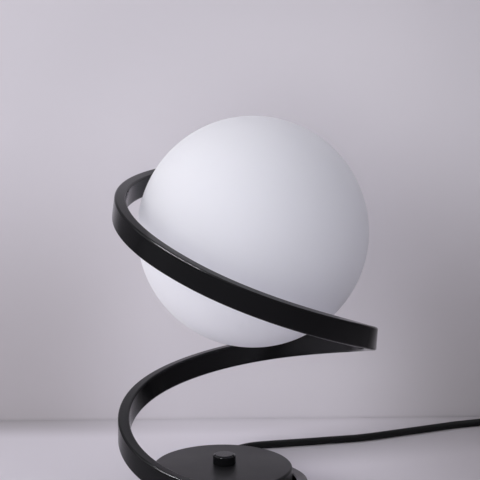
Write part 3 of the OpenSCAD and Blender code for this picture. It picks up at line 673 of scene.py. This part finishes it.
def makeGrip(s):
    low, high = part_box("cord_grip")
    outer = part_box("base_shell")[1].y + s["seat"]
    root = outer + s["flangeThick"]
    bore = cordSet["diameter"] / 2
    step = s["long"] / s["ribs"]
    inside = low.y + s["flangeThick"]
    corners = [(bore, low.y), (s["flange"], low.y), (s["flange"], inside), (s["neck"], inside),
               (s["neck"], outer), (s["flange"], outer), (s["flange"], root)]
    for i in range(s["ribs"]):
        r = mix(s["root"], s["tip"], i / (s["ribs"] - 1))
        y = root + i * step
        rib = y + s["grooveShare"] * step
        corners += [(r - s["groove"], y), (r - s["groove"], rib), (r, rib), (r, y + step)]
    corners.append((bore, root + s["long"]))
    profile = roundCorners(corners, s["edge"], s["edgeSteps"])
    profile.append(profile[0])
    place = Matrix.Translation((0, 0, (low.z + high.z) / 2)) @ Matrix.Rotation(math.radians(-90), 4, "X")
    mesh = lathe("cordGrip", profile, place, s["segments"])
    grip = addPiece("cordGrip", mesh, "lamp", "moulded_black", "cord_grip")
    sharpen(grip)
    return grip


cordGrip = makeGrip(gripSet)


# moulded two-pin plug; lengths run from the cord's end to the face with the pins
plugSet = {
    "sleeve": 0.0006, "relief": 0.020, "reliefRings": 5, "reliefEnd": 0.006, "ringDepth": 0.0008,
    "ringShape": ((0.0, 0), (0.5, 0), (0.56, 1), (0.92, 1), (0.98, 0)),
    "neck": 0.0124, "flare": 0.0035, "flareShares": (0.0, 0.1, 0.25, 0.45, 0.7, 1.0),
    "back": (0.0185, 0.0125), "corner": 0.0045, "cornerSteps": 9,
    "waist": 0.026, "shoulder": 0.046, "bodySteps": 60,
    "gripRows": 4, "gripDepth": 0.0006, "gripFrom": 0.0285, "gripPitch": 0.0034, "gripRound": 0.7,
    "frontRound": 0.0009, "frontSteps": 4, "leastSide": 1e-5,
}


def makePlug(s):
    low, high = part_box("plug_body")
    wide, tall, long = high.x - low.x, high.z - low.z, high.y - low.y
    tip = Vector(((low.x + high.x) / 2, high.y, (low.z + high.z) / 2))
    thin = cordSet["diameter"] / 2 + s["sleeve"]
    rings = []

    def ringAt(far, w, h, r):
        r = min(r, w / 2 - s["leastSide"], h / 2 - s["leastSide"])
        hub = tip - Vector((0, far, 0))
        rings.append([hub + Vector((x, 0, z)) for x, z in roundedOutline(w / 2, h / 2, r, s["cornerSteps"])])

    pitch = s["relief"] / s["reliefRings"]
    for i in range(s["reliefRings"]):
        for share, dip in s["ringShape"]:
            far = (i + share) * pitch
            r = mix(thin, s["reliefEnd"], far / s["relief"]) - dip * s["ringDepth"]
            ringAt(far, 2 * r, 2 * r, r)
    backWide, backTall = s["back"]
    for share in s["flareShares"]:
        grow = math.sin(share * math.pi / 2)
        ringAt(s["relief"] + s["flare"] * share, mix(s["neck"], backWide, grow), mix(s["neck"], backTall, grow),
               mix(s["reliefEnd"], s["corner"], grow))
    first = s["relief"] + s["flare"]
    for i in range(1, s["bodySteps"] + 1):
        far = mix(first, long - s["frontRound"], i / s["bodySteps"])
        w = mix(backWide, wide, smoothStep((far - first) / (s["shoulder"] - first)))
        h = mix(backTall, tall, smoothStep((far - first) / (s["waist"] - first)))
        row = (far - s["gripFrom"]) / s["gripPitch"]
        if 0 <= row <= s["gripRows"]:
            h -= 2 * s["gripDepth"] * max(0.0, math.sin(math.pi * (row % 1))) ** s["gripRound"]
        ringAt(far, w, h, s["corner"])
    for i in range(1, s["frontSteps"] + 1):
        bend = math.pi / 2 * i / s["frontSteps"]
        inset = s["frontRound"] * (1 - math.cos(bend))
        far = long - s["frontRound"] * (1 - math.sin(bend))
        ringAt(far, wide - 2 * inset, tall - 2 * inset, s["corner"] - inset)
    mesh = skinRings("plugBody", rings, False)
    closeEnds(mesh)
    return addPiece("plugBody", mesh, "lamp", "moulded_black", "plug_body")


plugBody = makePlug(plugSet)


# woven strap that ties the coil
tieSet = {
    "angle": 45, "thick": 0.0012, "width": 0.006, "gap": 0.0003, "soft": 0.0003,
    "corner": 0.0035, "cornerSteps": 8,
    "endTop": (-0.006, -0.003, 0.0, 0.003), "endClear": 0.001, "endDrop": 0.002,
    "endThick": 0.8, "endNarrow": 0.0002,
}


def makeTie(s):
    d = cordSet["diameter"]
    pitch = d + cordSet["turnGap"]
    turn = (90 - s["angle"]) / 360
    half = cordSet["turns"] / 2
    near = cordSet["coilReach"] - pitch * (turn + math.floor(half - turn)) - d / 2 - s["gap"]
    far = cordSet["coilReach"] - pitch * turn + d / 2 + s["gap"]
    tall = pitch + d + 2 * s["gap"]
    radial = turned(1, s["angle"]).to_3d()
    across = Vector((-radial.y, radial.x, 0))
    middle = cordSet["coilCentre"] + radial * (near + far) / 2 + Vector((0, 0, pitch / 2))
    thick, soft, side = s["thick"], s["soft"], s["width"] / 2
    section = [(0, -1, soft), (0, 1, soft), (soft, 1, 0), (thick - soft, 1, 0), (thick, 1, soft),
               (thick, -1, soft), (thick - soft, -1, 0), (soft, -1, 0)]

    def loop(grow):
        w, h = far - near + 2 * grow, tall + 2 * grow
        return roundedOutline(w / 2, h / 2, s["corner"] + grow, s["cornerSteps"])

    def strapRing(p, outwards, depthShare, halfWide):
        ring = []
        for depth, hand, pull in section:
            q = p + outwards * (depth * depthShare)
            ring.append(middle + radial * q.x + Vector((0, 0, q.y)) + across * hand * (halfWide - pull))
        return ring

    outer = loop(thick)
    rings = [strapRing(a, (b - a).normalized(), 1, side) for a, b in zip(loop(0), outer)]
    mesh = skinRings("coilTie", rings, True)
    tie = addPiece("coilTie", mesh, "lamp", "woven_strap", "coil_tie", slot="moulded_black")
    # the free end lies over the top and down the outside
    bend = outer[:s["cornerSteps"] + 1][::-1]
    run = [Vector((x, tall / 2 + thick)) for x in s["endTop"] if x < bend[0].x - s["endClear"]]
    run += bend + [Vector((bend[-1].x, bend[-1].y - s["endDrop"]))]
    rings = []
    for i, p in enumerate(run):
        ahead = run[min(i + 1, len(run) - 1)] - run[max(i - 1, 0)]
        outwards = Vector((-ahead.y, ahead.x)).normalized()
        rings.append(strapRing(p, outwards, s["endThick"], side - s["endNarrow"]))
    mesh = skinRings("tieEnd", rings, False)
    closeEnds(mesh)
    end = addPiece("tieEnd", mesh, "lamp", "woven_strap", slot="moulded_black")
    return tie, end


coilTie = makeTie(tieSet)
print("grip, plug and tie made")


# table and wall
stageSet = {
    "seam": 0.2568, "turn": 1.5, "wide": 3.0, "front": -1.2, "tall": 2.5,
    "rough": 0.6, "specular": 0.3,
    "pale": tone(0.885, 0.85, 0.905), "driftShare": 0.97, "driftScale": 3,
    "mid": tone(0.69, 0.66, 0.71), "haloCentre": (0.12, 0.20, 0.16), "halo": (0.08, 0.36),  # painted light round the lamp: pale inside the halo
    "deep": tone(0.43, 0.402, 0.425), "gradeSoft": 0.9,
    "gradeLow": 0.02, "gradeTop": 0.33,  # painted shade: deep to pale up the wall
    "gradeMiddle": 0.035, "gradeSide": (0.07, 0.25), "sidePale": 0.8,  # painted light falling off: pale in the middle, deep at both sides
    "gradeFront": 0.19, "tableLift": 1.1, "gradeRight": (0.04, 0.25), "rightPale": 0.08,  # table: painted light and shade, paler towards the front and deeper at the right
    "seamShade": (0.0035, 0.9), "seamSlope": 0.28,
    # painted light pool round the lamp, and painted dark surroundings seen in reflections
    "poolCentre": (0.05, 0.08, 0.24), "pool": (0.38, 0.75), "far": 0.85,
    "glossPool": (0.26, 0.5), "farGloss": 0.3,
    "cordShade": {"dim": 0.62, "slope": 0.29, "line": 0.136, "wide": 0.078,
                  "left": (0.0, 0.06), "right": (0.08, 0.37)},
}


def distanceFrom(tree, place, spot):
    node = addNode(tree, "VectorMath", operation="DISTANCE")
    feed(tree, node.inputs[0], place)
    feed(tree, node.inputs[1], spot)
    return node.outputs["Value"]


def shadeByCord(tree, x, y, s):  # soft shade on the table along the near side of the cord
    line = calc(tree, "MULTIPLY_ADD", x, -s["slope"], y)
    gap = calc(tree, "ABSOLUTE", calc(tree, "SUBTRACT", line, s["line"]))
    fromLeft = mapRange(tree, x, s["left"], (1, s["dim"]))
    toRight = mapRange(tree, x, s["right"], (s["dim"], 1))
    return mapRange(tree, gap, (0, s["wide"]), (calc(tree, "MAXIMUM", fromLeft, toRight), 1))


def toneWithPaintedLight(tree, place, axes, s):  # painted light and shade: deeper low on the wall, at the table's right and far from the middle
    x, y, z = axes
    aside = calc(tree, "ABSOLUTE", calc(tree, "SUBTRACT", x, s["gradeMiddle"]))
    near = mapRange(tree, y, (s["gradeFront"], s["seam"]), (1, 0))
    side = mapRange(tree, aside, s["gradeSide"], (s["sidePale"], 0))
    front = calc(tree, "MULTIPLY", near, mapRange(tree, x, s["gradeRight"], (1, s["rightPale"])))
    high = mapRange(tree, z, (s["gradeLow"], s["gradeTop"]), (0, 1))
    palest = calc(tree, "SMOOTH_MAX", calc(tree, "MAXIMUM", high, front), side, s["gradeSoft"], clamp=True)
    drifted = tone(*(s["driftShare"] * c for c in s["pale"][:3]))
    light = placeGroup(tree, driftGroup, Light=s["pale"], Deep=drifted, Scale=s["driftScale"])
    # painted light: the paint is paler round a spot near the lamp
    halo = mapRange(tree, distanceFrom(tree, place, s["haloCentre"]), s["halo"], (1, 0))
    return blend(tree, "RGBA", palest, s["deep"], blend(tree, "RGBA", halo, s["mid"], light["Color"]))


def paintShade(tree, place, axes, s):
    x, y, z = axes
    # soft shade where table and wall meet
    low = calc(tree, "MULTIPLY_ADD", y, -s["seamSlope"], s["seamSlope"] * s["seam"])
    wide, dim = s["seamShade"]
    corner = mapRange(tree, calc(tree, "ADD", low, z), (0, wide), (dim, 1))
    # painted light pool: the paint falls off outside a pool round the lamp, and much more so in what the black
    # coat mirrors (painted dark surroundings, seen in reflections only)
    reach = distanceFrom(tree, place, s["poolCentre"])
    seen = mapRange(tree, reach, s["pool"], (1, s["far"]))
    mirrored = mapRange(tree, reach, s["glossPool"], (1, s["farGloss"]))
    ray = addNode(tree, "LightPath")
    pool = blend(tree, "FLOAT", ray.outputs["Is Glossy Ray"], seen, mirrored)
    lift = mapRange(tree, y, (s["gradeFront"], s["seam"]), (s["tableLift"], 1))
    lifted = calc(tree, "MULTIPLY", calc(tree, "MULTIPLY", pool, corner), lift)
    return calc(tree, "MULTIPLY", lifted, shadeByCord(tree, x, y, s["cordShade"]))


def makePaint(s):  # matt paint of table and wall, carrying painted light and shade
    paint = bpy.data.materials.new("palePaint")
    paint.use_nodes = True
    tree = paint.node_tree
    shader = tree.nodes["Principled BSDF"]
    feed(tree, shader.inputs["Roughness"], s["rough"])
    feed(tree, shader.inputs["Specular IOR Level"], s["specular"])
    place = addNode(tree, "TexCoord").outputs["Object"]
    split = addNode(tree, "SeparateXYZ")
    feed(tree, split.inputs[0], place)
    shaded = addNode(tree, "VectorMath", operation="SCALE")
    feed(tree, shaded.inputs["Vector"], toneWithPaintedLight(tree, place, split.outputs, s))
    feed(tree, shaded.inputs["Scale"], paintShade(tree, place, split.outputs, s))
    feed(tree, shader.inputs["Base Color"], shaded.outputs["Vector"])
    # from behind the wall is see-through, so the lamp can be looked at from every side
    shape = addNode(tree, "NewGeometry")
    clear = addNode(tree, "BsdfTransparent")
    pick = addNode(tree, "MixShader")
    feed(tree, pick.inputs["Fac"], shape.outputs["Backfacing"])
    feed(tree, pick.inputs[1], shader.outputs["BSDF"])
    feed(tree, pick.inputs[2], clear.outputs["BSDF"])
    feed(tree, tree.nodes["Material Output"].inputs["Surface"], pick.outputs[0])
    return paint


def makeStage(s):
    line = [(s["front"], 0), (s["seam"], 0), (s["seam"], s["tall"])]
    mesh = bpy.data.meshes.new("tableAndWall")
    bm = bmesh.new()
    rows = [[bm.verts.new((x, y, z)) for y, z in line] for x in (-s["wide"], s["wide"])]
    for a, b, c, d in zip(rows[0], rows[1], rows[1][1:], rows[0][1:]):
        bm.faces.new((a, b, c, d))
    bm.to_mesh(mesh)
    bm.free()
    board = bpy.data.objects.new("tableAndWall", mesh)
    board.rotation_euler.z = math.radians(s["turn"])
    scene.collection.objects.link(board)
    mesh.materials.append(makePaint(s))


makeStage(stageSet)


# soft studio light
middleOfLamp = (0, 0, 0.2)
lightSet = {
    "key": {"place": (-1.45, -1.05, 0.7), "aim": middleOfLamp, "size": (1.6, 1.6), "power": 16, "gloss": False},
    "strip": {"place": (-0.58, -0.80, 1.93), "aim": middleOfLamp, "size": (1.2, 0.12), "power": 76,
              "diffuse": False, "color": (0.93, 0.94, 1.0)},  # the streak along the tube's upper edge
    "side": {"place": (-1.7, -0.25, 0.95), "aim": middleOfLamp, "size": (1.3, 1.3), "power": 4.5},
    "top": {"place": (0.0, -0.35, 2.2), "aim": (0, 0.1, 0.2), "size": (1.8, 1.8), "power": 8},
    "front": {"place": (-0.4, -2.4, 0.4), "aim": middleOfLamp, "size": (1.6, 1.2), "power": 14, "gloss": False},
    "right": {"place": (1.3, -0.35, 0.5), "aim": (0.1, 0.1, 0.22), "size": (0.8, 0.8), "power": 0.7,
              "gloss": False},
}
worldSet = {"color": tone(0.93, 0.92, 1.0), "strength": 0.23}


def makeLamp(name, s):
    glow = bpy.data.lights.new(name, "AREA")
    glow.shape = "RECTANGLE"
    glow.size, glow.size_y = s["size"]
    glow.energy = s["power"]
    glow.color = s.get("color", (1, 1, 1))
    lamp = bpy.data.objects.new(name, glow)
    lamp.location = s["place"]
    lamp.rotation_euler = (Vector(s["aim"]) - Vector(s["place"])).to_track_quat("-Z", "Y").to_euler()
    lamp.visible_diffuse = s.get("diffuse", True)
    lamp.visible_glossy = s.get("gloss", True)
    scene.collection.objects.link(lamp)


def makeWorld(s):
    sky = bpy.data.worlds.new("studio")
    scene.world = sky
    sky.use_nodes = True
    shine = sky.node_tree.nodes["Background"].inputs
    shine["Color"].default_value = s["color"]
    shine["Strength"].default_value = s["strength"]


for lampName, lampSet in lightSet.items():
    makeLamp(lampName, lampSet)
makeWorld(worldSet)
scene.view_settings.view_transform = "Standard"
print("stage lit")

bpy.context.view_layer.update()
